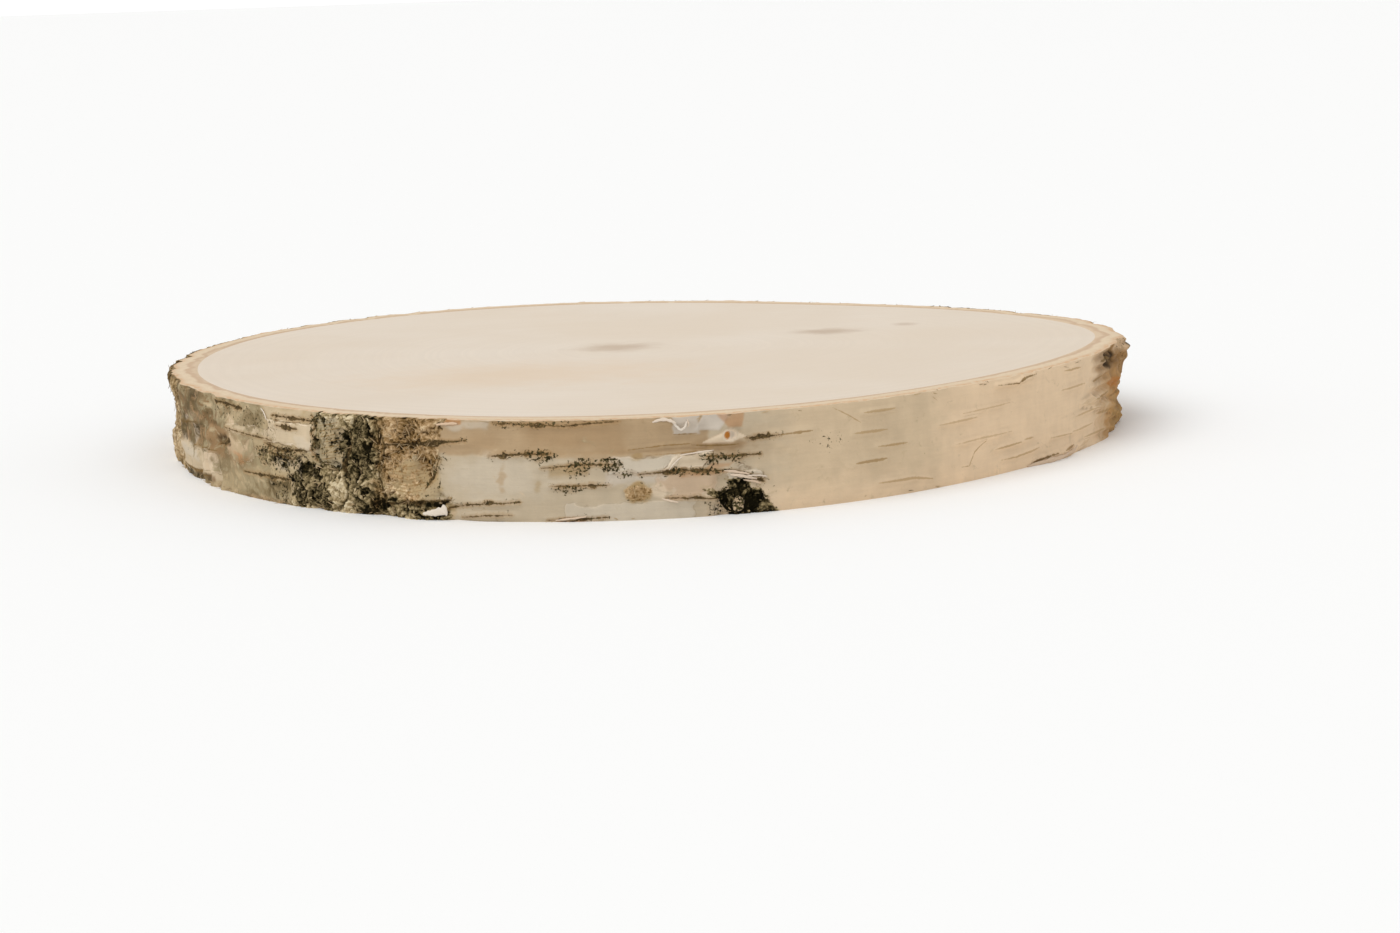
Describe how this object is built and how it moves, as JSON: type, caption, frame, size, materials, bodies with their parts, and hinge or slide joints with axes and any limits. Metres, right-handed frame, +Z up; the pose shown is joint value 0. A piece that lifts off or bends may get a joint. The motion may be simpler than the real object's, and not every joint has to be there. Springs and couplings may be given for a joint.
{
  "type": "birch wood slice",
  "caption": "Thick round slice sawn across a birch trunk, bark left on its edge, used as a cake stand, display plinth or serving board.",
  "frame": {"origin": "middle of the underside, on the axis the trunk grew round", "axes": "+Z up along the trunk, from the underside to the top face; -Y towards the side that shows best; +X to its right"},
  "size_m": [0.2865, 0.2883, 0.026],
  "materials": {
    "birch_wood": "sanded end grain, natural bark on the edge, no varnish"
  },
  "bodies": {
    "root": {"birch_slice": "birch_wood"}
  },
  "joints": []
}
